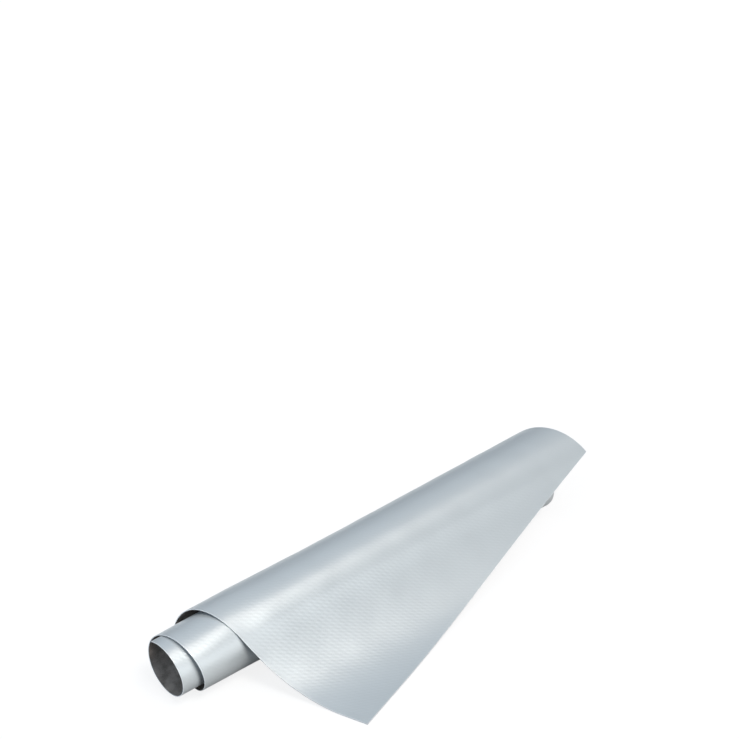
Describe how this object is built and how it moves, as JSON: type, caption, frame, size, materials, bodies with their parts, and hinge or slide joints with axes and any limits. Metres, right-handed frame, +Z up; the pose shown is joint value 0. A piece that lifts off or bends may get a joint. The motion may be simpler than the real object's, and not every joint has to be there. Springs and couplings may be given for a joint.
{
  "type": "baking mat",
  "caption": "Thin coated baking mat, silver on one side and dark on the other, lying loosely rolled up with its free end drawn out over the table.",
  "frame": {"origin": "on the table, under the middle of the rolled mat's box", "axes": "+X along the roll, away from its stepped open end; -Y towards the free end; +Z up from the table"},
  "size_m": [0.3872, 0.138, 0.0601],
  "materials": {
    "silver_coat": "satin silver with a fine woven print-through",
    "glass_cloth": "plain-woven glass fibre, seen only along the cut edges",
    "dark_coat": "matt anthracite with a fine woven print-through"
  },
  "bodies": {
    "root": {"face_coat": "silver_coat", "woven_core": "glass_cloth", "back_coat": "dark_coat"}
  },
  "joints": []
}
